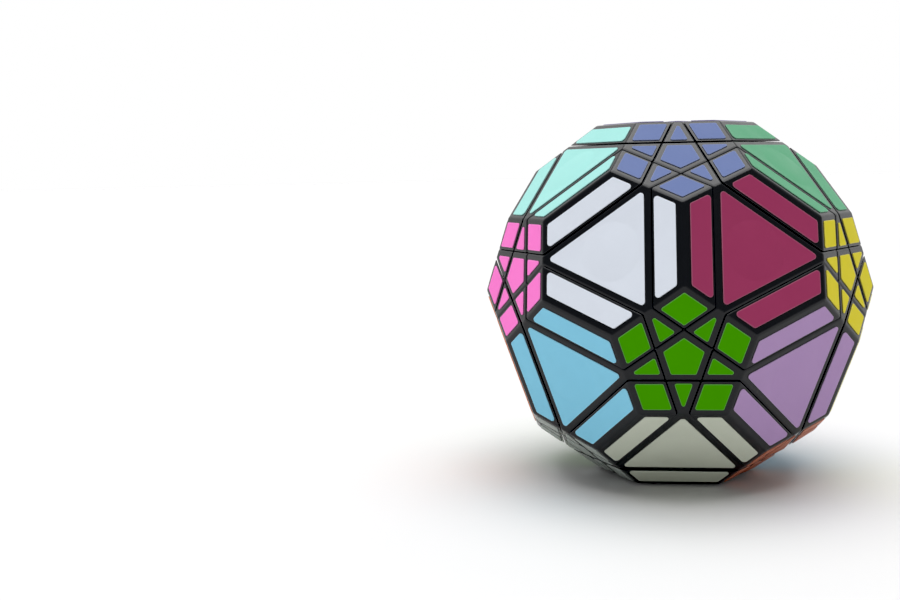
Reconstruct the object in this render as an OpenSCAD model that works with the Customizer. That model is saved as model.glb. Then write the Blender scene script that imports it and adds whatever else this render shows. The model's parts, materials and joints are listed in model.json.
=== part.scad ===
// Twenty-axis twisty puzzle in the shape of a truncated icosahedron: 20 hexagon faces that
// turn and 12 pentagon faces that don't. It is 20 centre pieces, 30 edge pieces and
// 12 pentagon pieces around a hollow two-part core, with a screw, a spring and a round cap
// for each turning axis, and a sticker on each visible patch of plastic.
// Millimetres, +Z up, the origin at the centre of the core, resting on a hexagon face.

/* [Outside] */
// Distance between two opposite hexagon faces, over the plastic
across_flats = 90; // [89:0.5:92]
// Depth of a turning layer below its hexagon face
layer_depth = 5.1; // [5:0.05:5.3]
// Gap between neighbouring pieces
piece_gap = 0.2; // [0.2:0.05:0.3]

/* [Stickers] */
// Thickness of a sticker
sticker_t = 0.2; // [0.1:0.05:0.3]
// Thickness of the adhesive under a sticker
adhesive_t = 0.02; // [0.02:0.01:0.05]
// From the middle of a groove to a big triangle sticker
triangle_margin = 1.55; // [1:0.05:2]
// From the middle of a groove to a strip sticker
strip_margin = 0.85; // [0.8:0.05:1.6]
// From an edge of the solid to the long side of a strip sticker
strip_border = 1.7; // [1:0.05:2]
// From the other edges of the solid to a sticker
edge_border = 1.15; // [0.8:0.05:1.8]
// From the middle of a groove to a pentagon sticker, and to a small triangle's outer sides
pentagon_margin = 1.35; // [0.8:0.05:1.6]
// From the middle of a groove to a small triangle's inner side
inner_margin = 0.85; // [0.8:0.05:1.6]
// From the middle of a groove to a kite sticker
kite_margin = 1; // [0.8:0.05:1.6]

/* [Centre pieces] */
// Radius of the flange that holds the edge pieces in
flange_r = 9.5; // [9:0.1:9.6]
// Radius of the neck between the flange and the outside
neck_r = 6.5; // [6:0.1:7]
// Radius of the sleeve around the screw
sleeve_r = 4.6; // [4.3:0.1:4.7]
// Radius of the well that holds the spring and the screw's head
well_r = 4; // [3.8:0.1:4.2]
// Radius of the round cap over the screw
cap_r = 7.2; // [6.5:0.1:7.6]
// Thickness of the cap's disc
cap_t = 1.2; // [1:0.1:1.4]

/* [Edge pieces] */
// Thickness of the stem, from one layer to the other
stem_t = 3; // [2.4:0.1:3]
// Width of the stem, along the edge
stem_w = 8; // [6:0.5:8]
// How far from its two axes the foot reaches
foot_reach = 16; // [15.5:0.1:16]
// Width of the foot, along the edge
foot_w = 19; // [15:0.5:19]

/* [Pentagon pieces] */
// Radius of the column under the face
column_r = 6.5; // [5:0.5:7]
// Radius of the peg that is pressed into the core
peg_r = 2.3; // [2:0.1:2.4]

/* [Core] */
// Outer radius of the core
core_r = 30; // [29.8:0.1:30]
// Wall thickness of the core
core_wall = 4; // [3:0.5:5]
// Radius of the bosses inside the core
boss_r = 3.6; // [3.2:0.1:3.6]

/* [Screws and springs] */
// Radius of the screw's shank
screw_r = 1.5; // [1.2:0.1:1.5]
// Radius of the screw's head
screw_head_r = 3.4; // [3:0.1:3.4]
// Radius of the spring to the middle of its wire
spring_r = 2.8; // [2.6:0.1:2.9]
// Thickness of the spring's wire
wire_t = 0.6; // [0.4:0.1:0.7]
// Turns of wire in a spring
spring_turns = 3.5; // [3:0.5:4]

/* [Hidden] */
$fn = 96;

// Angles of the solid, from the golden ratio
phi = (1 + sqrt(5)) / 2;
hex_to_hex = acos(sqrt(5) / 3);
hex_to_hex_2 = acos(1 / 3);
hex_to_pent = acos(sqrt((5 + 2 * sqrt(5)) / 15));
hex_to_pent_2 = acos(sqrt((5 - 2 * sqrt(5)) / 15));
edge_to_hex = hex_to_hex / 2;
edge_to_pent = atan(1 / phi);
ring_spread = asin(sin(edge_to_hex) / sin(hex_to_hex_2));

// Distances of the solid, from its edge length
hex_r = across_flats / 2;
edge_l = hex_r * 4 / (sqrt(3) * (3 + sqrt(5)));
pent_r = edge_l / 2 * sqrt((125 + 41 * sqrt(5)) / 10);
hex_apothem = edge_l * sqrt(3) / 2;
pent_apothem = edge_l / (2 * tan(36));

// A layer's cut plane, the faces on its two sides, and where it crosses each kind of face
cut_r = hex_r - layer_depth;
layer_floor = cut_r + piece_gap / 2;
below_layer = cut_r - piece_gap / 2;
hex_cut = (cut_r - hex_r * cos(hex_to_hex)) / sin(hex_to_hex);
pent_cut = (cut_r - pent_r * cos(hex_to_pent)) / sin(hex_to_pent);

// Spherical levels of the mechanism, from the core outwards
level_gap = 0.25;
foot_t = 2.75;
flange_t = 2.25;
foot_r0 = core_r + level_gap;
foot_r1 = foot_r0 + foot_t;
flange_r0 = foot_r1 + level_gap;
flange_r1 = flange_r0 + flange_t;

// Fits, and how far joined solids run into each other and cutters run past a face
fit_gap = 0.1;
snug_gap = 0.05;
overlap = 1;

// Heights along a turning axis
sleeve_end = core_r + 2 * fit_gap;
sleeve_t = 3.4;
well_floor = sleeve_end + sleeve_t;
cap_seat = hex_r - cap_t - snug_gap;
head_room = 1.1;
head_top = cap_seat - head_room;
head_t = 2.2;
screw_depth = 12;
screw_tip = core_r - screw_depth;
slot_size = [1, 4, 1.2];

// The ring under the cap that plugs into the well
plug_t = 0.8;
plug_wall = 0.9;

// The spring between the well's floor and the screw's head, in rings of points
ring_points = 12;
wire_points = 4;
spring_rings = spring_turns * ring_points;
spring_z0 = well_floor + wire_t / 2 + snug_gap;
spring_z1 = head_top - head_t - wire_t / 2 - snug_gap;
spring_ends = [
    [for (k = [0:wire_points - 1]) k],
    [for (k = [wire_points - 1:-1:0]) spring_rings * wire_points + k]
];

// Where a stem's sides are inside its edge piece, its end, and how far its far corner sweeps
stem_sink = 0.3;
stem_top = (layer_floor + stem_t / 2 * sin(edge_to_hex)) / cos(edge_to_hex) + stem_sink;
stem_end = stem_top + overlap / 2;
stem_sweep = norm([stem_top * sin(edge_to_hex) + stem_t / 2 * cos(edge_to_hex), stem_w / 2]);

// Heights along a pentagon axis
plate_t = 3.2;
plate_floor = pent_r - plate_t;
column_floor = foot_r1 + piece_gap;
peg_depth = 5;
peg_end = core_r - peg_depth;

// The core's bosses, which reach a little past the screws and pegs
screw_cover = 2;
peg_cover = 3;
screw_boss_h = screw_depth + screw_cover;
peg_boss_h = peg_depth + peg_cover;

// The seam between the core's halves, with a lip that keeps them in line
seam_gap = 0.1;
lip_t = 1.4;
lip_r = core_r - core_wall + lip_t;
lip_h = 0.8;

span = 2.4 * hex_r; // a cube of this side holds the whole puzzle
near = 0.02; // tolerance when directions are compared

// Directions of the 20 hexagons and 12 pentagons, in rings from the top down
function direction(polar, azimuth) =
    [sin(polar) * cos(azimuth), sin(polar) * sin(azimuth), cos(polar)];
function ring(polar, azimuths) = [for (t = azimuths) direction(polar, t)];
function pairs(azimuths) = [for (t = azimuths) each [t - ring_spread, t + ring_spread]];
FRONT_RING = [-90, 30, 150];
BACK_RING = [-150, -30, 90];
HEXAGONS = [
    [0, 0, 1],
    each ring(hex_to_hex, BACK_RING),
    each ring(hex_to_hex_2, pairs(FRONT_RING)),
    each ring(180 - hex_to_hex_2, pairs(BACK_RING)),
    each ring(180 - hex_to_hex, FRONT_RING),
    [0, 0, -1]
];
PENTAGONS = [
    each ring(hex_to_pent, FRONT_RING),
    each ring(hex_to_pent_2, BACK_RING),
    each ring(180 - hex_to_pent_2, FRONT_RING),
    each ring(180 - hex_to_pent, BACK_RING)
];

// Sticker colours, in the order of the lists above
HEXAGON_COLOURS = [
    "#5d4a9c", "#a0e1da", "#549f76", "#1c4f9e", "#dde3ee", "#95385c", "#c8232c",
    "#e9b27a", "#2f6e5a", "#8a5a36", "#f57d1e", "#8cd6f1", "#b191bf", "#f2e85e",
    "#7a1f7d", "#9fd13c", "#cad0bf", "#2a8fb0", "#5a8c3c", "#e152ae"
];
PENTAGON_COLOURS = [
    "#58699d", "#d98a8a", "#5b3a2a", "#f380dc", "#d7c805", "#4aa3a0",
    "#439f05", "#1f2f6b", "#b9b296", "#8f90a3", "#c9683c", "#78bedc"
];
PLASTIC = "#232327";
CORE_PLASTIC = "#e8e6df";
STEEL = "#b8bcc2";

// Which faces are neighbours
function within(u, v, angle) = u * v > cos(angle) - near;
function near_hexagons(axis) =
    [for (h = HEXAGONS) if (h * axis < 1 - near && within(h, axis, hex_to_hex)) h];
function nearest_hexagon(axis) = [for (h = HEXAGONS) if (within(h, axis, hex_to_pent)) h][0];
EDGES = [
    for (i = [0:19])
        for (j = [i + 1:1:19])
            if (within(HEXAGONS[i], HEXAGONS[j], hex_to_hex)) [i, j]
];

function two_digits(n) = n < 10 ? str("0", n) : str(n);
function centre_name(i) = str("centre_", two_digits(i + 1));
function edge_name(e) = str("edge_", two_digits(e[0] + 1), "_", two_digits(e[1] + 1));
PENTAGON_RINGS = ["pentagons_top", "pentagons_upper", "pentagons_lower", "pentagons_bottom"];

function unit(v) = v / norm(v);

// Puts +Z on an axis and turns +X towards another direction
module placed(axis, towards) {
    z = unit(axis);
    y = unit(cross(z, towards));
    x = cross(y, z);
    multmatrix([
        [x[0], y[0], z[0], 0],
        [x[1], y[1], z[1], 0],
        [x[2], y[2], z[2], 0]
    ])
        children();
}

// Everything below, or above, a plane square to a direction
module below(polar, azimuth, distance)
    rotate([0, polar, azimuth])
        translate([-span / 2, -span / 2, distance - span])
            cube(span);

module above(polar, azimuth, distance)
    rotate([0, polar, azimuth])
        translate([-span / 2, -span / 2, distance])
            cube(span);

module rod(r, z0, z1)
    translate([0, 0, z0])
        cylinder(r = r, h = z1 - z0);

module shell(r0, r1)
    difference() {
        sphere(r = r1);
        sphere(r = r0);
    }

// A flat patch bounded by lines, each [azimuth, distance from the face's centre]
function meeting(p, q) =
    [p[1] * sin(q[0]) - q[1] * sin(p[0]), q[1] * cos(p[0]) - p[1] * cos(q[0])]
    / sin(q[0] - p[0]);
function patch(lines) =
    [for (i = [0:len(lines) - 1]) meeting(lines[i], lines[(i + 1) % len(lines)])];

module sticker(lines, face_r)
    translate([0, 0, face_r + adhesive_t])
        linear_extrude(sticker_t)
            polygon(patch(lines));

big_triangle = [for (t = [0:120:240]) [t, hex_cut - triangle_margin]];
strip = [
    [-60, hex_apothem - edge_border],
    [0, hex_apothem - strip_border],
    [60, hex_apothem - edge_border],
    [180, -hex_cut - strip_margin]
];
small_pentagon = [for (t = [0:72:288]) [t, pent_cut - pentagon_margin]];
small_triangle = [
    [-72, pent_cut - pentagon_margin],
    [72, pent_cut - pentagon_margin],
    [180, -pent_cut - inner_margin]
];
kite = [
    [-36, pent_apothem - edge_border],
    [36, pent_apothem - edge_border],
    [144, -pent_cut - kite_margin],
    [216, -pent_cut - kite_margin]
];

// A centre piece, with its axis on +Z and a neighbouring hexagon towards +X
module centre_outside()
    difference() {
        intersection() {
            below(0, 0, hex_r);
            above(0, 0, layer_floor);
            intersection_for (t = [0:120:240])
                below(hex_to_hex, t, below_layer);
            intersection_for (t = [60:120:300])
                below(hex_to_pent, t, pent_r);
        }
        for (t = [0:120:240])
            rotate([0, hex_to_hex, t])
                rod(stem_sweep + piece_gap, cut_r / 2, cut_r);
    }

module centre_body()
    difference() {
        union() {
            centre_outside();
            rod(neck_r, flange_r1 - overlap, layer_floor + overlap);
            intersection() {
                shell(flange_r0, flange_r1);
                rod(flange_r, 0, flange_r1);
            }
            rod(sleeve_r, sleeve_end, flange_r1 - overlap);
        }
        rod(screw_r + 2 * fit_gap, core_r - overlap, well_floor + overlap);
        rod(well_r, well_floor, hex_r + overlap);
        rod(cap_r + fit_gap, cap_seat, hex_r + overlap);
    }

module cap() {
    rod(cap_r, cap_seat + snug_gap, hex_r);
    difference() {
        rod(well_r - fit_gap, cap_seat - plug_t, cap_seat + cap_t / 2);
        rod(well_r - fit_gap - plug_wall, cap_seat - plug_t - overlap, cap_seat + snug_gap);
    }
}

module centre_piece(i) {
    axis = HEXAGONS[i];
    placed(axis, near_hexagons(axis)[0]) {
        color(PLASTIC)
            centre_body();
        color(PLASTIC)
            cap();
        color(HEXAGON_COLOURS[i])
            sticker(big_triangle, hex_r);
    }
    for (p = [0:11])
        if (within(PENTAGONS[p], axis, hex_to_pent))
            color(PENTAGON_COLOURS[p])
                placed(PENTAGONS[p], axis)
                    sticker(small_triangle, pent_r);
}

// An edge piece, with the middle of its edge on +Z and its two axes towards -X and +X
module edge_body() {
    intersection() {
        below(edge_to_hex, 0, hex_r);
        below(edge_to_hex, 180, hex_r);
        above(edge_to_hex, 0, layer_floor);
        above(edge_to_hex, 180, layer_floor);
        below(edge_to_pent, 90, pent_r);
        below(edge_to_pent, -90, pent_r);
    }
    translate([-stem_t / 2, -stem_w / 2, foot_r1 - overlap])
        cube([stem_t, stem_w, stem_end - foot_r1 + overlap]);
    intersection() {
        shell(foot_r0, foot_r1);
        rotate([0, edge_to_hex, 0])
            rod(foot_reach, 0, foot_r1);
        rotate([0, -edge_to_hex, 0])
            rod(foot_reach, 0, foot_r1);
        translate([-span / 2, -foot_w / 2, 0])
            cube([span, foot_w, foot_r1]);
    }
}

module edge_piece(e) {
    a = HEXAGONS[e[0]];
    b = HEXAGONS[e[1]];
    middle = unit(a + b);
    color(PLASTIC)
        placed(middle, b)
            edge_body();
    color(HEXAGON_COLOURS[e[0]])
        placed(a, b)
            sticker(strip, hex_r);
    color(HEXAGON_COLOURS[e[1]])
        placed(b, a)
            sticker(strip, hex_r);
    for (p = [0:11])
        if (within(PENTAGONS[p], middle, edge_to_pent))
            color(PENTAGON_COLOURS[p])
                placed(PENTAGONS[p], middle)
                    sticker(kite, pent_r);
}

// A pentagon piece, with its face on +Z and a neighbouring hexagon towards +X
module pentagon_piece() {
    intersection() {
        below(0, 0, pent_r);
        above(0, 0, plate_floor);
        intersection_for (t = [0:72:288])
            below(hex_to_pent, t, below_layer);
    }
    rod(column_r, column_floor, plate_floor + overlap);
    rod(peg_r, peg_end, column_floor + overlap);
}

module pentagon_ring(r)
    color(PLASTIC)
        for (p = [3 * r:3 * r + 2])
            placed(PENTAGONS[p], nearest_hexagon(PENTAGONS[p]))
                pentagon_piece();

module pentagon_stickers()
    for (p = [0:11])
        color(PENTAGON_COLOURS[p])
            placed(PENTAGONS[p], nearest_hexagon(PENTAGONS[p]))
                sticker(small_pentagon, pent_r);

// The core: two hollow halves with a boss for each screw and each peg
module on_hexagons(side)
    for (h = HEXAGONS)
        if (h[2] * side > 0)
            placed(h, near_hexagons(h)[0])
                children();

module on_pentagons(side)
    for (p = PENTAGONS)
        if (p[2] * side > 0)
            placed(p, nearest_hexagon(p))
                children();

module core_half(side)
    intersection() {
        difference() {
            union() {
                shell(core_r - core_wall, core_r);
                on_hexagons(side)
                    rod(boss_r, core_r - screw_boss_h, core_r - overlap);
                on_pentagons(side)
                    rod(boss_r, core_r - peg_boss_h, core_r - overlap);
            }
            on_hexagons(side)
                rod(screw_r + snug_gap, screw_tip - overlap, core_r + overlap);
            on_pentagons(side)
                rod(peg_r + snug_gap, peg_end - overlap / 2, core_r + overlap);
        }
        below(side > 0 ? 180 : 0, 0, -seam_gap / 2);
    }

module core_upper()
    color(CORE_PLASTIC)
        difference() {
            core_half(1);
            rod(lip_r + fit_gap, -overlap, lip_h + fit_gap);
        }

module core_lower()
    color(CORE_PLASTIC) {
        core_half(-1);
        difference() {
            rod(lip_r, -overlap, lip_h);
            rod(core_r - core_wall, -2 * overlap, lip_h + overlap);
        }
    }

module screw()
    difference() {
        union() {
            rod(screw_r, screw_tip, head_top - head_t / 2);
            rod(screw_head_r, head_top - head_t, head_top);
        }
        for (t = [0, 90])
            rotate(t)
                translate([-slot_size[0] / 2, -slot_size[1] / 2, head_top - slot_size[2]])
                    cube(slot_size + [0, 0, overlap]);
    }

module axis_screws()
    color(STEEL)
        for (side = [-1, 1])
            on_hexagons(side)
                screw();

// A helical spring of square wire, set on its corner
function spring_point(ring, k) =
    let (
        turn = ring * 360 / ring_points,
        side = k * 360 / wire_points,
        out = spring_r + wire_t / 2 * cos(side),
        rise = spring_z0 + (spring_z1 - spring_z0) * ring / spring_rings
    )
    [out * cos(turn), out * sin(turn), rise + wire_t / 2 * sin(side)];

function spring_face(ring, k) =
    let (
        a = ring * wire_points + k,
        b = ring * wire_points + (k + 1) % wire_points
    )
    [[a, b + wire_points, b], [a, a + wire_points, b + wire_points]];

module spring()
    polyhedron(
        points = [for (r = [0:spring_rings]) for (k = [0:wire_points - 1]) spring_point(r, k)],
        faces = [
            each spring_ends,
            for (r = [0:spring_rings - 1]) for (k = [0:wire_points - 1]) each spring_face(r, k)
        ]
    );

module axis_springs()
    color(STEEL)
        for (side = [-1, 1])
            on_hexagons(side)
                spring();

core_upper();
core_lower();
axis_screws();
axis_springs();
for (i = [0:19]) centre_piece(i);
for (e = EDGES) edge_piece(e);
for (r = [0:3]) pentagon_ring(r);
pentagon_stickers();
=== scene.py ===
"""The looks of a twenty-axis twisty puzzle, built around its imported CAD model.

Metres, +Z up, the origin at the centre of the core. The solid is a truncated icosahedron. Its
hexagons' directions are the layers' axes, and its distances follow from the height of its top.
"""

import itertools
import json
import math

import bmesh
import bpy
from mathutils import Matrix, Vector

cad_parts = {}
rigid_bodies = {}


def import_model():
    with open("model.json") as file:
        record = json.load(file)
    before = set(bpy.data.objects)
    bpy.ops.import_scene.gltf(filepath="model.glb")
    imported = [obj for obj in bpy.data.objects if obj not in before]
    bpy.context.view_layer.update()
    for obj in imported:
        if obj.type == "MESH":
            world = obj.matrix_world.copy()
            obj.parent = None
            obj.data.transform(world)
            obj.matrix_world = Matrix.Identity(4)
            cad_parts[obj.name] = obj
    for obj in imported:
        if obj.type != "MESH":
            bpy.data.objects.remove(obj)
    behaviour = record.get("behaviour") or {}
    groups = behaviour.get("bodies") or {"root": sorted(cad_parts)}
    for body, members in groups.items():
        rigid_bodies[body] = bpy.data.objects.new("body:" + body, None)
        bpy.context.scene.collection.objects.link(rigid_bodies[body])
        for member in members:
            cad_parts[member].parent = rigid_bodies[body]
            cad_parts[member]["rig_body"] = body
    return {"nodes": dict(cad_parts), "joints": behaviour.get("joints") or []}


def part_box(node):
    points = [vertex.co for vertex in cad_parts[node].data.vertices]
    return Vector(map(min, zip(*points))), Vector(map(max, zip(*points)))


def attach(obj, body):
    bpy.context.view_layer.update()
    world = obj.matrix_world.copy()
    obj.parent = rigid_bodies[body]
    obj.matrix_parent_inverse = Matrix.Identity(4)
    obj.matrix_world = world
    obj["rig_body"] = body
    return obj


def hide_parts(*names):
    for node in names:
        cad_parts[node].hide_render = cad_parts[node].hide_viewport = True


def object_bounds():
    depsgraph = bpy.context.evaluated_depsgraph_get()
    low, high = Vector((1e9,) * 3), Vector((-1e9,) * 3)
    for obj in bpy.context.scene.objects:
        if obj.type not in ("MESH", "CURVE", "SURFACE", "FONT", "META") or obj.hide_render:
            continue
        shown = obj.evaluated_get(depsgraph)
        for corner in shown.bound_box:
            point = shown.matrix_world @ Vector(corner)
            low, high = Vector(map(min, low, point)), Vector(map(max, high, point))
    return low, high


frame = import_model()
cad_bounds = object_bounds()

MM = 0.001

# ---------------------------------------------------------------- sizes, as in the CAD
# Stickers: thicknesses, and margins from the grooves' middles and from the solid's edges
STICKER_T = 0.2 * MM
ADHESIVE_T = 0.02 * MM
TRIANGLE_MARGIN = 1.55 * MM
STRIP_MARGIN = 0.85 * MM
STRIP_BORDER = 1.7 * MM
EDGE_BORDER = 1.15 * MM
PENTAGON_MARGIN = 1.35 * MM
INNER_MARGIN = 0.85 * MM
KITE_MARGIN = 1 * MM

# A turning layer's depth, and the gap between neighbouring pieces
LAYER_DEPTH = 5.1 * MM
PIECE_GAP = 0.2 * MM

# Angles of the solid
PHI = (1 + math.sqrt(5)) / 2
HEX_TO_HEX = math.acos(math.sqrt(5) / 3)
HEX_TO_PENT = math.acos(math.sqrt((5 + 2 * math.sqrt(5)) / 15))
HEX_TO_PENT_2 = math.acos(math.sqrt((5 - 2 * math.sqrt(5)) / 15))
EDGE_TO_HEX = HEX_TO_HEX / 2
EDGE_TO_PENT = math.atan(1 / PHI)

# Distances of the solid, from the height of the top sticker
HEX_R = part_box("centre_01")[1].z - ADHESIVE_T - STICKER_T
EDGE_L = HEX_R * 4 / (math.sqrt(3) * (3 + math.sqrt(5)))
PENT_R = EDGE_L / 2 * math.sqrt((125 + 41 * math.sqrt(5)) / 10)
HEX_APOTHEM = EDGE_L * math.sqrt(3) / 2
PENT_APOTHEM = EDGE_L / (2 * math.tan(math.radians(36)))

# A layer's cut plane, the faces on its two sides, and where it crosses each kind of face
CUT_R = HEX_R - LAYER_DEPTH
LAYER_FLOOR = CUT_R + PIECE_GAP / 2
BELOW_LAYER = CUT_R - PIECE_GAP / 2
HEX_CUT = (CUT_R - HEX_R * math.cos(HEX_TO_HEX)) / math.sin(HEX_TO_HEX)
PENT_CUT = (CUT_R - PENT_R * math.cos(HEX_TO_PENT)) / math.sin(HEX_TO_PENT)

# Spherical levels of the mechanism, from the core outwards
CORE_R = 30 * MM
LEVEL_GAP = 0.25 * MM
FOOT_T = 2.75 * MM
FLANGE_T = 2.25 * MM
FOOT_R0 = CORE_R + LEVEL_GAP
FOOT_R1 = FOOT_R0 + FOOT_T
FLANGE_R0 = FOOT_R1 + LEVEL_GAP
FLANGE_R1 = FLANGE_R0 + FLANGE_T

# Fits, and how far joined solids run into each other and cutters run past a face
FIT_GAP = 0.1 * MM
SNUG_GAP = 0.05 * MM
OVERLAP = 1 * MM

# Centre pieces
FLANGE_R = 9.5 * MM
NECK_R = 6.5 * MM
SLEEVE_R = 4.6 * MM
SLEEVE_T = 3.4 * MM
SLEEVE_END = CORE_R + 2 * FIT_GAP
WELL_R = 4 * MM
WELL_FLOOR = SLEEVE_END + SLEEVE_T
SCREW_R = 1.5 * MM
CAP_R = 7.2 * MM
CAP_T = 1.2 * MM
CAP_SEAT = HEX_R - CAP_T - SNUG_GAP
CAP_CHAMFER = 0.15 * MM
PLUG_T = 0.8 * MM
PLUG_WALL = 0.9 * MM

# Edge pieces, and how far a stem's far corner sweeps round an axis
STEM_T = 3 * MM
STEM_W = 8 * MM
STEM_SINK = 0.3 * MM
STEM_TOP = (
    (LAYER_FLOOR + STEM_T / 2 * math.sin(EDGE_TO_HEX)) / math.cos(EDGE_TO_HEX) + STEM_SINK
)
STEM_END = STEM_TOP + OVERLAP / 2
STEM_SWEEP = math.hypot(
    STEM_TOP * math.sin(EDGE_TO_HEX) + STEM_T / 2 * math.cos(EDGE_TO_HEX), STEM_W / 2
)
FOOT_REACH = 16 * MM
FOOT_W = 19 * MM

# Pentagon pieces
PLATE_T = 3.2 * MM
PLATE_FLOOR = PENT_R - PLATE_T
COLUMN_R = 6.5 * MM
COLUMN_FLOOR = FOOT_R1 + PIECE_GAP
PEG_R = 2.3 * MM
PEG_DEPTH = 5 * MM
PEG_END = CORE_R - PEG_DEPTH

# ---------------------------------------------------------------- details that only the looks have
# Roundings of the moulded pieces, as distances from the sharp edge
SOLID_ROUND = 0.5 * MM
LIP_ROUND = 0.4 * MM
WEDGE_ROUND = 0.4 * MM
WALL_ROUND = 0.2 * MM
ROUND_STEPS = 4

# Stickers: corner radius, rounded top edge, and the width of the paler rim
CORNER_R = 0.75 * MM
SMALL_CORNER_R = 0.45 * MM
LEAST_CORNER_R = 0.15 * MM
CORNER_STEPS = 6
EDGE_ROUND = 0.07 * MM
EDGE_STEPS = 3
RIM_W = 0.25 * MM

# The cap under a big sticker shows as a shallow ring
CAP_RING_DEPTH = 0.035 * MM
CAP_RING_W = 0.3 * MM
CAP_RING_SIDES = 72

# Fineness of the round parts
ROUND_SIDES = 64
CAP_SIDES = 96
CUTTER_SIDES = 128
ARC_STEPS = 10
FOOT_STEPS = 24
SHARP_ANGLE = math.radians(50)

# Tolerances
NEAR = 0.02  # between the cosines of angles that count as equal
PARALLEL = 1e-4  # the determinant of planes that don't meet in a point
TOUCHING = 1e-7
SAME_PLACE = 1e-6
FLAT_ANGLE = 0.01

# ---------------------------------------------------------------- directions
HEXAGONS = [
    Vector(joint["axis"]).normalized()
    for joint in frame["joints"]
    if joint["name"].startswith("layer_")
]


def polar(angle, azimuth):
    """The direction at an angle from +Z and at an azimuth, both in radians."""
    out = math.sin(angle)
    return Vector((out * math.cos(azimuth), out * math.sin(azimuth), math.cos(angle)))


def ring(angle, azimuths):
    """Directions at one angle from +Z, at azimuths in degrees."""
    return [polar(angle, math.radians(t)) for t in azimuths]


FRONT_RING = (-90, 30, 150)
BACK_RING = (-150, -30, 90)
PENTAGONS = [
    *ring(HEX_TO_PENT, FRONT_RING),
    *ring(HEX_TO_PENT_2, BACK_RING),
    *ring(math.pi - HEX_TO_PENT_2, FRONT_RING),
    *ring(math.pi - HEX_TO_PENT, BACK_RING),
]


def apart(u, v, angle):
    """Whether two directions are at an angle to each other, give or take a little."""
    return abs(u.dot(v) - math.cos(angle)) < NEAR


EDGES = [
    (i, j)
    for i in range(len(HEXAGONS))
    for j in range(i + 1, len(HEXAGONS))
    if apart(HEXAGONS[i], HEXAGONS[j], HEX_TO_HEX)
]


def first_beside(axis, directions, angle):
    """The first of some directions that is at an angle from an axis."""
    return next(d for d in directions if apart(d, axis, angle))


def centre_name(i):
    return f"centre_{i + 1:02d}"


def edge_name(e):
    return f"edge_{e[0] + 1:02d}_{e[1] + 1:02d}"


def placed(axis, towards):
    """The turn that puts +Z on an axis and turns +X towards another direction."""
    z = axis.normalized()
    y = z.cross(towards).normalized()
    x = y.cross(z)
    return Matrix((x, y, z)).transposed().to_4x4()


# ---------------------------------------------------------------- mesh tools
def new_object(name, data):
    obj = bpy.data.objects.new(name, data)
    bpy.context.scene.collection.objects.link(obj)
    return obj


def mesh_from(bm, name):
    bmesh.ops.recalc_face_normals(bm, faces=bm.faces)
    mesh = bpy.data.meshes.new(name)
    bm.to_mesh(mesh)
    bm.free()
    return mesh


def settled(obj):
    """The object's mesh with its modifiers applied. The object is removed."""
    depsgraph = bpy.context.evaluated_depsgraph_get()
    mesh = bpy.data.meshes.new_from_object(obj.evaluated_get(depsgraph), depsgraph=depsgraph)
    bpy.data.objects.remove(obj)
    return mesh


def combined(base, other, operation):
    """The union, difference or intersection of two closed meshes."""
    a = new_object("base", base)
    b = new_object("other", other)
    cut = a.modifiers.new("cut", "BOOLEAN")
    cut.operation = operation
    cut.object = b
    cut.solver = "EXACT"
    mesh = settled(a)
    bpy.data.objects.remove(b)
    return mesh


def cell(planes):
    """The convex solid below planes, each (normal, distance, kind), as a bmesh."""
    bm = bmesh.new()
    for three in itertools.combinations(planes, 3):
        normals = Matrix([normal for normal, _, _ in three])
        if abs(normals.determinant()) < PARALLEL:
            continue
        point = normals.inverted() @ Vector([distance for _, distance, _ in three])
        if all(point.dot(normal) <= distance + TOUCHING for normal, distance, _ in planes):
            bm.verts.new(point)
    bmesh.ops.remove_doubles(bm, verts=bm.verts, dist=SAME_PLACE)
    bmesh.ops.convex_hull(bm, input=bm.verts)
    bmesh.ops.dissolve_limit(bm, angle_limit=FLAT_ANGLE, verts=bm.verts, edges=bm.edges)
    bmesh.ops.recalc_face_normals(bm, faces=bm.faces)
    return bm


def kind_of(face, planes):
    """The kind of the plane that a face of a cell lies on."""
    return max(planes, key=lambda p: face.normal.dot(p[0]))[2]


def rounded_cell(name, planes):
    """A cell with rounded edges: wide on the solid's own edges, narrower on the grooves' lips."""
    bm = cell(planes)
    weights = bm.edges.layers.float.new("bevel_weight_edge")
    for e in bm.edges:
        kinds = {kind_of(f, planes) for f in e.link_faces}
        turn = e.link_faces[0].normal.angle(e.link_faces[1].normal)
        if kinds == {"face"}:
            size = SOLID_ROUND
        elif "face" in kinds:
            size = WEDGE_ROUND if turn > math.pi / 2 else LIP_ROUND
        else:
            size = WALL_ROUND
        e[weights] = size / SOLID_ROUND
    obj = new_object(name, mesh_from(bm, name))
    bevel = obj.modifiers.new("round", "BEVEL")
    bevel.limit_method = "WEIGHT"
    bevel.width = SOLID_ROUND
    bevel.segments = ROUND_STEPS
    bevel.use_clamp_overlap = False
    return settled(obj)


def around(items):
    """Each item with the next one, and the last with the first."""
    return list(zip(items, items[1:] + items[:1]))


def circle(bm, r, z, sides):
    """New vertices on a level circle around Z."""
    angles = [2 * math.pi * k / sides for k in range(sides)]
    return [bm.verts.new((r * math.cos(a), r * math.sin(a), z)) for a in angles]


def band(bm, low, high):
    """Faces between two closed loops of as many vertices."""
    for (a, b), (c, d) in zip(around(low), around(high)):
        bm.faces.new((a, b, d, c))


def lathe(name, profile, sides=ROUND_SIDES):
    """A closed profile of (radius, height) points turned about Z."""
    bm = bmesh.new()
    loops = [circle(bm, r, z, sides) for r, z in profile]
    for (low, high), ((r0, _), (r1, _)) in zip(around(loops), around(profile)):
        if r0 or r1:
            band(bm, low, high)
    bmesh.ops.remove_doubles(bm, verts=bm.verts, dist=TOUCHING)
    return mesh_from(bm, name)


def rod(r, z0, z1, sides=ROUND_SIDES):
    return lathe("rod", [(0, z0), (r, z0), (r, z1), (0, z1)], sides)


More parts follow.
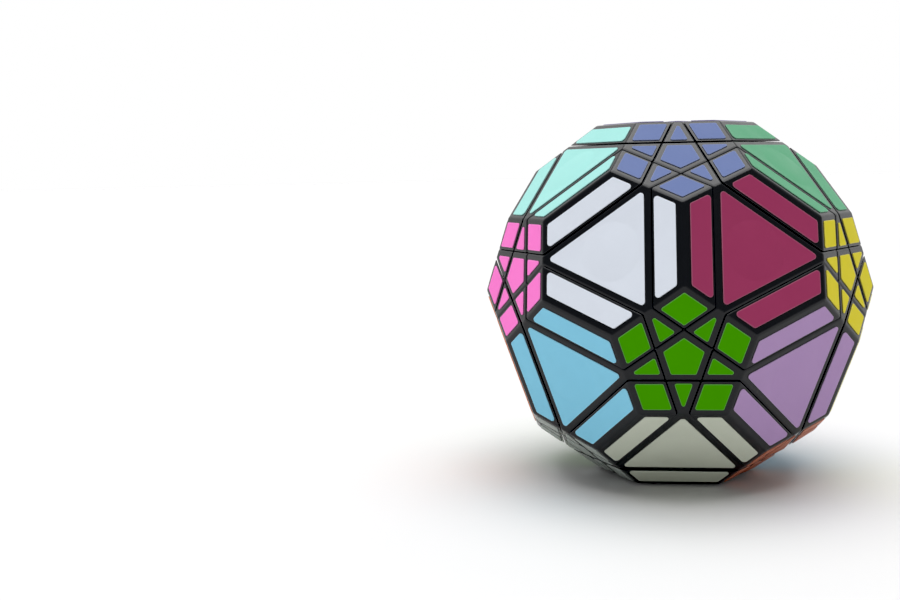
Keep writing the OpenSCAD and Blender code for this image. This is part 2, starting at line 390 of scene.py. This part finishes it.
def arc(radius, r0, r1):
    """Points (r, z) on a sphere, from r0 to r1 away from the axis."""
    out = [r0 + (r1 - r0) * k / ARC_STEPS for k in range(ARC_STEPS + 1)]
    return [(r, math.sqrt(radius**2 - r**2)) for r in out]


def turned(mesh, matrix):
    """A mesh after a turn, which is made in place."""
    mesh.transform(matrix)
    return mesh


def block(low, high):
    """A box between two corners."""
    bm = bmesh.new()
    bmesh.ops.create_cube(bm, size=1)
    for v in bm.verts:
        v.co = Vector([high[k] if v.co[k] > 0 else low[k] for k in range(3)])
    return mesh_from(bm, "block")


def smoothed(mesh):
    """A mesh with smooth shading up to its sharp edges."""
    mesh.shade_smooth()
    mesh.set_sharp_from_angle(angle=SHARP_ANGLE)
    return mesh


# ---------------------------------------------------------------- the moulded pieces
def centre_mesh():
    """A centre piece, with its axis on +Z and a neighbouring hexagon towards +X."""
    planes = [(Vector((0, 0, 1)), HEX_R, "face"), (Vector((0, 0, -1)), -LAYER_FLOOR, "floor")]
    for t in (0, 120, 240):
        planes.append((polar(HEX_TO_HEX, math.radians(t)), BELOW_LAYER, "wall"))
        planes.append((polar(HEX_TO_PENT, math.radians(t + 60)), PENT_R, "face"))
    body = rounded_cell("centre", planes)
    for t in (0, 120, 240):
        turn = Matrix.Rotation(math.radians(t), 4, "Z") @ Matrix.Rotation(HEX_TO_HEX, 4, "Y")
        scallop = turned(rod(STEM_SWEEP + PIECE_GAP, CUT_R / 2, CUT_R, CUTTER_SIDES), turn)
        body = combined(body, scallop, "DIFFERENCE")
    neck = lathe(
        "neck",
        [
            (SCREW_R + 2 * FIT_GAP, SLEEVE_END),
            (SLEEVE_R, SLEEVE_END),
            *arc(FLANGE_R0, SLEEVE_R, FLANGE_R),
            *arc(FLANGE_R1, FLANGE_R, NECK_R),
            (NECK_R, LAYER_FLOOR + OVERLAP),
            (SCREW_R + 2 * FIT_GAP, LAYER_FLOOR + OVERLAP),
        ],
    )
    body = combined(body, neck, "UNION")
    body = combined(body, rod(WELL_R, WELL_FLOOR, HEX_R + OVERLAP), "DIFFERENCE")
    recess = rod(CAP_R + FIT_GAP, CAP_SEAT, HEX_R + OVERLAP, CAP_SIDES)
    return combined(body, recess, "DIFFERENCE")


def cap_mesh():
    """The round cap over a screw, with the ring under it that plugs into the well."""
    chamfer = CAP_CHAMFER
    under = CAP_SEAT + SNUG_GAP
    plug_r = WELL_R - FIT_GAP
    plug_end = CAP_SEAT - PLUG_T
    return lathe(
        "cap",
        [
            (0, under),
            (plug_r - PLUG_WALL, under),
            (plug_r - PLUG_WALL, plug_end + chamfer),
            (plug_r - PLUG_WALL + chamfer, plug_end),
            (plug_r - chamfer, plug_end),
            (plug_r, plug_end + chamfer),
            (plug_r, under),
            (CAP_R - chamfer, under),
            (CAP_R, under + chamfer),
            (CAP_R, HEX_R - chamfer),
            (CAP_R - chamfer, HEX_R),
            (0, HEX_R),
        ],
        CAP_SIDES,
    )


def foot_mesh():
    """An edge piece's foot: a piece of shell within reach of both axes."""
    steps = FOOT_STEPS
    bm = bmesh.new()

    def spread(half, k):
        return half * (2 * k / steps - 1)

    def sheet(radius):
        rows = []
        for i in range(steps + 1):
            x = spread(FOOT_REACH, i)
            places = [(x, spread(FOOT_W / 2, k)) for k in range(steps + 1)]
            rows.append([
                bm.verts.new((x, y, math.sqrt(radius**2 - x**2 - y**2))) for x, y in places
            ])
        return rows

    inner, outer = sheet(FOOT_R0), sheet(FOOT_R1)
    for rows in (inner, outer):
        for i in range(steps):
            for k in range(steps):
                bm.faces.new((rows[i][k], rows[i + 1][k], rows[i + 1][k + 1], rows[i][k + 1]))
    for i in range(steps):
        for k in (0, steps):
            bm.faces.new((inner[i][k], inner[i + 1][k], outer[i + 1][k], outer[i][k]))
            bm.faces.new((inner[k][i], inner[k][i + 1], outer[k][i + 1], outer[k][i]))
    foot = mesh_from(bm, "foot")
    for side in (-1, 1):
        turn = Matrix.Rotation(side * EDGE_TO_HEX, 4, "Y")
        reach = turned(rod(FOOT_REACH, 0, FOOT_R1 + OVERLAP, CUTTER_SIDES), turn)
        foot = combined(foot, reach, "INTERSECT")
    return foot


def edge_mesh():
    """An edge piece, with the middle of its edge on +Z and its two axes towards -X and +X."""
    planes = []
    for side in (0, math.pi):
        planes.append((polar(EDGE_TO_HEX, side), HEX_R, "face"))
        planes.append((-polar(EDGE_TO_HEX, side), -LAYER_FLOOR, "wall"))
        planes.append((polar(EDGE_TO_PENT, side + math.pi / 2), PENT_R, "face"))
    body = rounded_cell("edge", planes)
    stem = block(
        (-STEM_T / 2, -STEM_W / 2, FOOT_R1 - OVERLAP),
        (STEM_T / 2, STEM_W / 2, STEM_END),
    )
    body = combined(body, stem, "UNION")
    return combined(body, foot_mesh(), "UNION")


def pentagon_mesh():
    """A pentagon piece, with its face on +Z and a neighbouring hexagon towards +X."""
    planes = [(Vector((0, 0, 1)), PENT_R, "face"), (Vector((0, 0, -1)), -PLATE_FLOOR, "floor")]
    for t in range(0, 360, 72):
        planes.append((polar(HEX_TO_PENT, math.radians(t)), BELOW_LAYER, "wall"))
    body = rounded_cell("pentagon", planes)
    column = lathe(
        "column",
        [
            (0, PEG_END),
            (PEG_R, PEG_END),
            (PEG_R, COLUMN_FLOOR),
            (COLUMN_R, COLUMN_FLOOR),
            (COLUMN_R, PLATE_FLOOR + OVERLAP),
            (0, PLATE_FLOOR + OVERLAP),
        ],
    )
    return combined(body, column, "UNION")


# ---------------------------------------------------------------- stickers
def meeting(p, q):
    """Where two lines cross, each (azimuth, distance from the face's centre)."""
    (a, d), (b, e) = p, q
    x = d * math.sin(b) - e * math.sin(a)
    y = e * math.cos(a) - d * math.cos(b)
    return Vector((x, y)) / math.sin(b - a)


def outline(lines, inset, radius):
    """The patch inside lines, set in by a margin, with its corners rounded."""
    inner = [(t, d - inset) for t, d in lines]
    points = []
    for here, after in around(inner):
        turn = (after[0] - here[0]) % (2 * math.pi)
        middle = here[0] + turn / 2
        bisector = Vector((math.cos(middle), math.sin(middle)))
        centre = meeting(here, after) - bisector * radius / math.cos(turn / 2)
        for k in range(CORNER_STEPS + 1):
            angle = here[0] + turn * k / CORNER_STEPS
            points.append(centre + Vector((math.cos(angle), math.sin(angle))) * radius)
    return points


def sticker_mesh(name, lines, face_r, corner_r, cap_ring=False):
    """A sticker with rounded corners and a rounded top edge. Its rim attribute is 1 at the edge."""
    lines = [(math.radians(t), d) for t, d in lines]
    base = face_r + ADHESIVE_T
    top = base + STICKER_T
    bm = bmesh.new()
    rim = bm.verts.layers.float.new("rim")

    def loop(inset, z, value):
        radius = max(corner_r - inset, LEAST_CORNER_R)
        verts = [bm.verts.new((p.x, p.y, z)) for p in outline(lines, inset, radius)]
        for v in verts:
            v[rim] = value
        return verts

    loops = [loop(0, base, 1), loop(0, top - EDGE_ROUND, 1)]
    for k in range(1, EDGE_STEPS + 1):
        a = math.pi / 2 * k / EDGE_STEPS
        loops.append(loop(EDGE_ROUND * (1 - math.cos(a)), top - EDGE_ROUND * (1 - math.sin(a)), 1))
    loops.append(loop(RIM_W, top, 0))
    for low, high in itertools.pairwise(loops):
        band(bm, low, high)
    bm.faces.new(loops[0])
    if cap_ring:
        radii = (CAP_R + CAP_RING_W, CAP_R, CAP_R - CAP_RING_W)
        heights = (top, top - CAP_RING_DEPTH, top)
        circles = [circle(bm, r, z, CAP_RING_SIDES) for r, z in zip(radii, heights)]
        for outer, inner in itertools.pairwise(circles):
            band(bm, outer, inner)
        bm.faces.new(circles[-1])
        edges = [bm.edges.get(ends) for ends in around(loops[-1]) + around(circles[0])]
        bmesh.ops.triangle_fill(bm, edges=edges, use_beauty=True)
    else:
        bm.faces.new(loops[-1])
    return mesh_from(bm, name)


# The patches' outlines, each side as (azimuth in degrees, distance from the face's centre)
BIG_TRIANGLE = [(t, HEX_CUT - TRIANGLE_MARGIN) for t in (0, 120, 240)]
STRIP = [
    (-60, HEX_APOTHEM - EDGE_BORDER),
    (0, HEX_APOTHEM - STRIP_BORDER),
    (60, HEX_APOTHEM - EDGE_BORDER),
    (180, -HEX_CUT - STRIP_MARGIN),
]
SMALL_PENTAGON = [(t, PENT_CUT - PENTAGON_MARGIN) for t in range(0, 360, 72)]
SMALL_TRIANGLE = [
    (-72, PENT_CUT - PENTAGON_MARGIN),
    (72, PENT_CUT - PENTAGON_MARGIN),
    (180, -PENT_CUT - INNER_MARGIN),
]
KITE = [
    (-36, PENT_APOTHEM - EDGE_BORDER),
    (36, PENT_APOTHEM - EDGE_BORDER),
    (144, -PENT_CUT - KITE_MARGIN),
    (216, -PENT_CUT - KITE_MARGIN),
]


# ---------------------------------------------------------------- materials
NOISE_SPAN = (0.3, 0.7)  # where most of a noise's values lie


class Tree:
    """A short way to write a node material."""

    def __init__(self, name):
        self.material = bpy.data.materials.new(name)
        self.material.use_nodes = True
        self.nodes = self.material.node_tree.nodes
        self.links = self.material.node_tree.links
        self.shader = self.nodes["Principled BSDF"]

    def feed(self, node, inputs):
        """Sets a node's inputs, each to a value or to another node's output."""
        for key, value in inputs.items():
            if isinstance(value, bpy.types.NodeSocket):
                self.links.new(value, node.inputs[key])
            else:
                node.inputs[key].default_value = value

    def add(self, kind, inputs, **settings):
        node = self.nodes.new(kind)
        for key, value in settings.items():
            setattr(node, key, value)
        self.feed(node, inputs)
        return node

    def surface(self, inputs):
        """Gives the shader its inputs, and returns the finished material."""
        self.feed(self.shader, inputs)
        return self.material

    def place(self):
        """Object coordinates, shifted by a different amount on each piece."""
        random = self.add("ShaderNodeObjectInfo", {}).outputs["Random"]
        here = self.add("ShaderNodeTexCoord", {}).outputs["Object"]
        scale = {"Vector": (1, 1, 1), "Scale": random}
        shift = self.add("ShaderNodeVectorMath", scale, operation="SCALE").outputs[0]
        return self.add("ShaderNodeVectorMath", {0: here, 1: shift}, operation="ADD").outputs[0]

    def noise(self, place, size, detail=3):
        """Noise whose features are about size metres across."""
        inputs = {"Vector": place, "Scale": 1 / size, "Detail": detail}
        return self.add("ShaderNodeTexNoise", inputs).outputs["Fac"]

    def remap(self, value, span, to_span):
        """A value with one span of it, (low, high), stretched to another."""
        ends = zip(("From Min", "From Max", "To Min", "To Max"), (*span, *to_span))
        return self.add("ShaderNodeMapRange", {"Value": value, **dict(ends)}).outputs["Result"]

    def mix(self, factor, a, b):
        inputs = {0: factor, 6: a, 7: b}  # the factor and the two colours
        return self.add("ShaderNodeMix", inputs, data_type="RGBA").outputs[2]

    def math(self, operation, a, b):
        return self.add("ShaderNodeMath", {0: a, 1: b}, operation=operation).outputs[0]

    def shades(self, noise, colour, low, high):
        """A colour that changes with noise, between two brightnesses."""
        return self.mix(noise, scaled(colour, low), scaled(colour, high))

    def bump(self, height, distance):
        inputs = {"Height": height, "Distance": distance}
        return self.add("ShaderNodeBump", inputs).outputs["Normal"]

    def edges(self, radius):
        """0 on flat ground, and up to 1 where rounding by the radius would bend the surface."""
        rounded = self.add("ShaderNodeBevel", {"Radius": radius}, samples=6).outputs["Normal"]
        flat = self.add("ShaderNodeNewGeometry", {}).outputs["True Normal"]
        dot = self.add("ShaderNodeVectorMath", {0: rounded, 1: flat}, operation="DOT_PRODUCT")
        return self.remap(dot.outputs["Value"], (0.9, 1), (1, 0))


def linear(colour):
    """A display colour, #rrggbb, as linear RGBA."""
    values = [int(colour[k : k + 2], 16) / 255 for k in (1, 3, 5)]
    return (*[v / 12.92 if v <= 0.04045 else ((v + 0.055) / 1.055) ** 2.4 for v in values], 1)


def scaled(colour, factor):
    return (*[c * factor for c in colour[:3]], 1)


def towards_white(colour, share):
    return (*[c + (1 - c) * share for c in colour[:3]], 1)


def moulded_plastic(name, colour, roughness, specular, wear_and_highlight):
    """Moulded plastic: a fine spark-eroded grain, faint cloudiness and smoother edges, paler in
    patches, which is partly wear and partly a painted highlight.
    """
    t = Tree(name)
    place = t.place()
    body = t.shades(t.noise(place, size=6 * MM), colour, low=0.85, high=1.15)
    edge = t.edges(radius=0.35 * MM)
    patchy_wear_and_highlight = t.remap(t.noise(place, size=1.5 * MM, detail=5), (0.45, 0.7), (0, 1))
    smudges = t.noise(place, size=9 * MM)
    smudged = t.remap(smudges, NOISE_SPAN, (roughness - 0.05, roughness + 0.06))
    polish = t.math("MULTIPLY", edge, 0.08)
    return t.surface({
        # the paler colour on the rounded edges is partly wear and partly a painted highlight of the
        # lips
        "Base Color": t.mix(t.math("MULTIPLY", edge, patchy_wear_and_highlight), body, wear_and_highlight),
        "Roughness": t.math("SUBTRACT", smudged, polish),
        "Specular IOR Level": specular,
        "Normal": t.bump(t.noise(place, size=0.12 * MM, detail=2), distance=0.008 * MM),
    })


def sticker_film(name, colour):
    """A printed vinyl sticker: a satin film with faint print mottle and a paler cut rim."""
    t = Tree(name)
    place = t.place()
    printed = t.shades(t.noise(place, size=5 * MM), colour, low=0.97, high=1.03)
    rim = t.add("ShaderNodeAttribute", {}, attribute_name="rim").outputs["Fac"]
    cut = t.remap(rim, (0.35, 1), (0, 0.35))
    return t.surface({
        "Base Color": t.mix(cut, printed, towards_white(colour, share=0.22)),
        "Roughness": t.remap(t.noise(place, size=7 * MM), NOISE_SPAN, (0.38, 0.48)),
        "Specular IOR Level": 0.1,
        "Normal": t.bump(t.noise(place, size=0.5 * MM), distance=0.006 * MM),
    })


def plated_steel(name, colour):
    """Zinc-plated steel: a fine grain that shows in its brightness and its surface."""
    t = Tree(name)
    place = t.place()
    grain = t.noise(place, size=0.4 * MM, detail=4)
    return t.surface({
        "Base Color": t.shades(grain, colour, low=0.8, high=1.1),
        "Metallic": 1,
        "Roughness": t.remap(t.noise(place, size=2 * MM), NOISE_SPAN, (0.22, 0.38)),
        "Normal": t.bump(grain, distance=0.004 * MM),
    })


HEXAGON_COLOURS = (
    "#5d4a9c", "#9ad6d0", "#549973", "#1c4f9e", "#d6dce6", "#91385a", "#c8232c",
    "#e9b27a", "#2f6e5a", "#8a5a36", "#f57d1e", "#89cfea", "#ab8db9", "#f2e85e",
    "#7a1f7d", "#9fd13c", "#c2c7b7", "#2a8fb0", "#5a8c3c", "#e152ae",
)
PENTAGON_COLOURS = (
    "#5e6e9c", "#d98a8a", "#5b3a2a", "#ff7dd3", "#cec105", "#4aa3a0",
    "#439905", "#1f2f6b", "#b9b296", "#a6aea8", "#b8694c", "#78bedc",
)


def film_slot(kind, number):
    """The record's slot for a face's stickers. Faces count from 0 here, and from 1 there."""
    return f"sticker_{kind}_{number + 1:02d}"


# The materials, by the record's slots
BLACK = "black_plastic"
CORE = "core_plastic"
STEEL = "steel"
# Each plastic's paler edge colour is partly wear and partly a painted highlight
LOOKS = {
    BLACK: moulded_plastic(
        BLACK, linear("#0d0f13"), roughness=0.2, specular=0.38, wear_and_highlight=linear("#25272c")
    ),
    CORE: moulded_plastic(
        CORE, linear("#e8e6df"), roughness=0.42, specular=0.5, wear_and_highlight=linear("#f4f2ec")
    ),
    STEEL: plated_steel(STEEL, linear("#b8bcc2")),
}
for kind, colours in (("hexagon", HEXAGON_COLOURS), ("pentagon", PENTAGON_COLOURS)):
    for number, colour in enumerate(colours):
        slot = film_slot(kind, number)
        LOOKS[slot] = sticker_film(slot, linear(colour))


# ---------------------------------------------------------------- putting it together
def piece(name, mesh, matrix, node, slot):
    """A piece that stands for a CAD node and rides on its body. Its place is in its mesh."""
    mesh = turned(mesh.copy(), matrix)
    mesh.materials.clear()
    mesh.materials.append(LOOKS[slot])
    obj = new_object(name, mesh)
    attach(obj, frame["nodes"][node]["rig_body"])
    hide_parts(node)


def moulded(mesh):
    """A moulded master mesh with its normals, so that flat faces look flat between roundings."""
    obj = new_object("master", smoothed(mesh))
    normals = obj.modifiers.new("normals", "WEIGHTED_NORMAL")
    normals.keep_sharp = True
    return settled(obj)


def film(name, lines, face_r, corner_r, **extra):
    """A sticker's master mesh."""
    return smoothed(sticker_mesh(name, lines, face_r, corner_r, **extra))


# The master meshes, each pointing outwards along +Z
CENTRE = moulded(centre_mesh())
CAP = moulded(cap_mesh())
EDGE = moulded(edge_mesh())
PENTAGON = moulded(pentagon_mesh())
BIG_FILM = film("big_triangle", BIG_TRIANGLE, HEX_R, CORNER_R, cap_ring=True)
STRIP_FILM = film("strip", STRIP, HEX_R, CORNER_R)
SMALL_PENTAGON_FILM = film("small_pentagon", SMALL_PENTAGON, PENT_R, SMALL_CORNER_R)
SMALL_TRIANGLE_FILM = film("small_triangle", SMALL_TRIANGLE, PENT_R, SMALL_CORNER_R)
KITE_FILM = film("kite", KITE, PENT_R, SMALL_CORNER_R)


def pentagon_stickers(node, mesh, direction, angle):
    """A piece's stickers on the pentagons at an angle from it."""
    for p, pentagon in enumerate(PENTAGONS):
        if apart(pentagon, direction, angle):
            name = f"{node}_sticker_p{p + 1:02d}"
            piece(name, mesh, placed(pentagon, direction), node, film_slot("pentagon", p))


for i, axis in enumerate(HEXAGONS):
    node = centre_name(i)
    place = placed(axis, first_beside(axis, HEXAGONS, HEX_TO_HEX))
    piece(f"{node}_body", CENTRE, place, node, BLACK)
    piece(f"{node}_cap", CAP, place, node, BLACK)
    piece(f"{node}_sticker", BIG_FILM, place, node, film_slot("hexagon", i))
    pentagon_stickers(node, SMALL_TRIANGLE_FILM, axis, HEX_TO_PENT)

for e in EDGES:
    node = edge_name(e)
    a, b = HEXAGONS[e[0]], HEXAGONS[e[1]]
    middle = (a + b).normalized()
    piece(f"{node}_body", EDGE, placed(middle, b), node, BLACK)
    for h, place in zip(e, (placed(a, b), placed(b, a))):
        piece(f"{node}_sticker_h{h + 1:02d}", STRIP_FILM, place, node, film_slot("hexagon", h))
    pentagon_stickers(node, KITE_FILM, middle, EDGE_TO_PENT)

# The pentagon pieces' nodes, three pieces to each, from the top down
RINGS = ("pentagons_top", "pentagons_upper", "pentagons_lower", "pentagons_bottom")
for p, pentagon in enumerate(PENTAGONS):
    name = f"pentagon_{p + 1:02d}"
    place = placed(pentagon, first_beside(pentagon, HEXAGONS, HEX_TO_PENT))
    piece(f"{name}_body", PENTAGON, place, RINGS[p // 3], BLACK)
    slot = film_slot("pentagon", p)
    piece(f"{name}_sticker", SMALL_PENTAGON_FILM, place, "pentagon_stickers", slot)

# The CAD nodes that stay get the materials of this script
for node, slot in (
    ("core_upper", CORE),
    ("core_lower", CORE),
    ("axis_screws", STEEL),
    ("axis_springs", STEEL),
):
    materials = frame["nodes"][node].data.materials
    materials.clear()
    materials.append(LOOKS[slot])

# ---------------------------------------------------------------- floor, light and camera
FLOOR_R = 6
FLOOR_SIDES = 96
PAPER_GRAIN = 0.3
PAPER_TONES = ((0.66, 0.66, 0.665, 1), (0.69, 0.69, 0.69, 1))
PAPER_ROUGHNESS = 0.9

# The light straight above: its strength, and how wide it is, as an angle
OVERHEAD = 3.0
OVERHEAD_SPREAD = math.radians(66)

# The studio's brightness on the viewer's side and behind the object. It changes over a span of
# the direction's Y, and only above a band of its Z
WORLD_FRONT = 0.37
WORLD_BACK = 1.0
FRONT_TO_BACK = (-0.2, 0.9)
HORIZON_BAND = (0.09, 0.22)

# The camera: its place around the origin, and how far it is turned away from there, in radians
CAMERA_AZIMUTH = math.radians(-2.5)
CAMERA_ELEVATION = math.radians(6.2)
CAMERA_DISTANCE = 16.579 * EDGE_L
CAMERA_YAW = 0.1788
CAMERA_PITCH = -0.0012
CAMERA_ROLL = -0.0017
SENSOR_W = 36
LENS = 49.75
CLIP_START = 0.01

# Values up to this one come out black, as deep as in the photo
BLACK_LEVEL = 0.01


def floor():
    """A round sheet of pale paper that the puzzle rests on."""
    bm = bmesh.new()
    bmesh.ops.create_circle(bm, cap_ends=True, segments=FLOOR_SIDES, radius=FLOOR_R)
    obj = new_object("floor", mesh_from(bm, "floor"))
    obj.location.z = cad_bounds[0].z
    t = Tree("floor_paper")
    paper = t.mix(t.noise(t.place(), PAPER_GRAIN), *PAPER_TONES)
    obj.data.materials.append(t.surface({"Base Color": paper, "Roughness": PAPER_ROUGHNESS}))


def overhead():
    """One very wide, soft light straight above."""
    data = bpy.data.lights.new("overhead", "SUN")
    data.energy = OVERHEAD
    data.angle = OVERHEAD_SPREAD
    new_object("overhead", data)


def world():
    """A pale studio: white behind the object and near the horizon, dimmer on the viewer's side."""
    w = bpy.data.worlds.new("studio")
    bpy.context.scene.world = w
    w.use_nodes = True
    nodes, links = w.node_tree.nodes, w.node_tree.links
    direction = nodes.new("ShaderNodeTexCoord")
    parts = nodes.new("ShaderNodeSeparateXYZ")
    links.new(direction.outputs["Generated"], parts.inputs[0])

    def ramp(axis, low, high, to_low, to_high):
        node = nodes.new("ShaderNodeMapRange")
        node.interpolation_type = "SMOOTHSTEP"
        for socket, value in zip(node.inputs[1:5], (low, high, to_low, to_high)):
            socket.default_value = value
        links.new(parts.outputs[axis], node.inputs["Value"])
        return node.outputs["Result"]

    strength = nodes.new("ShaderNodeMix")
    links.new(ramp("Z", *HORIZON_BAND, 1, 0), strength.inputs[0])
    links.new(ramp("Y", *FRONT_TO_BACK, WORLD_FRONT, WORLD_BACK), strength.inputs[2])
    strength.inputs[3].default_value = WORLD_BACK
    background = nodes["Background"]
    background.inputs["Color"].default_value = (1, 1, 1, 1)
    links.new(strength.outputs[0], background.inputs["Strength"])


def camera():
    """The camera, a little left of the front and above, turned to have the object at the right."""
    back = Vector((
        math.cos(CAMERA_ELEVATION) * math.sin(CAMERA_AZIMUTH),
        -math.cos(CAMERA_ELEVATION) * math.cos(CAMERA_AZIMUTH),
        math.sin(CAMERA_ELEVATION),
    ))
    right = Vector((0, 0, 1)).cross(back).normalized()
    look = Matrix((right, back.cross(right), back))
    roll = Matrix.Rotation(-CAMERA_ROLL, 3, "Z")
    pitch = Matrix.Rotation(-CAMERA_PITCH, 3, "X")
    yaw = Matrix.Rotation(-CAMERA_YAW, 3, "Y")
    turn = (roll @ pitch @ yaw @ look).transposed().to_4x4()
    data = bpy.data.cameras.new("camera")
    data.sensor_width = SENSOR_W
    data.lens = LENS
    data.clip_start = CLIP_START
    obj = new_object("camera", data)
    obj.matrix_world = Matrix.Translation(back * CAMERA_DISTANCE) @ turn
    bpy.context.scene.camera = obj


def tone():
    """Plain display colours, with deep blacks."""
    view = bpy.context.scene.view_settings
    view.view_transform = "Standard"
    view.use_curve_mapping = True
    view.curve_mapping.black_level = (BLACK_LEVEL,) * 3
    view.curve_mapping.update()


floor()
overhead()
world()
camera()
tone()
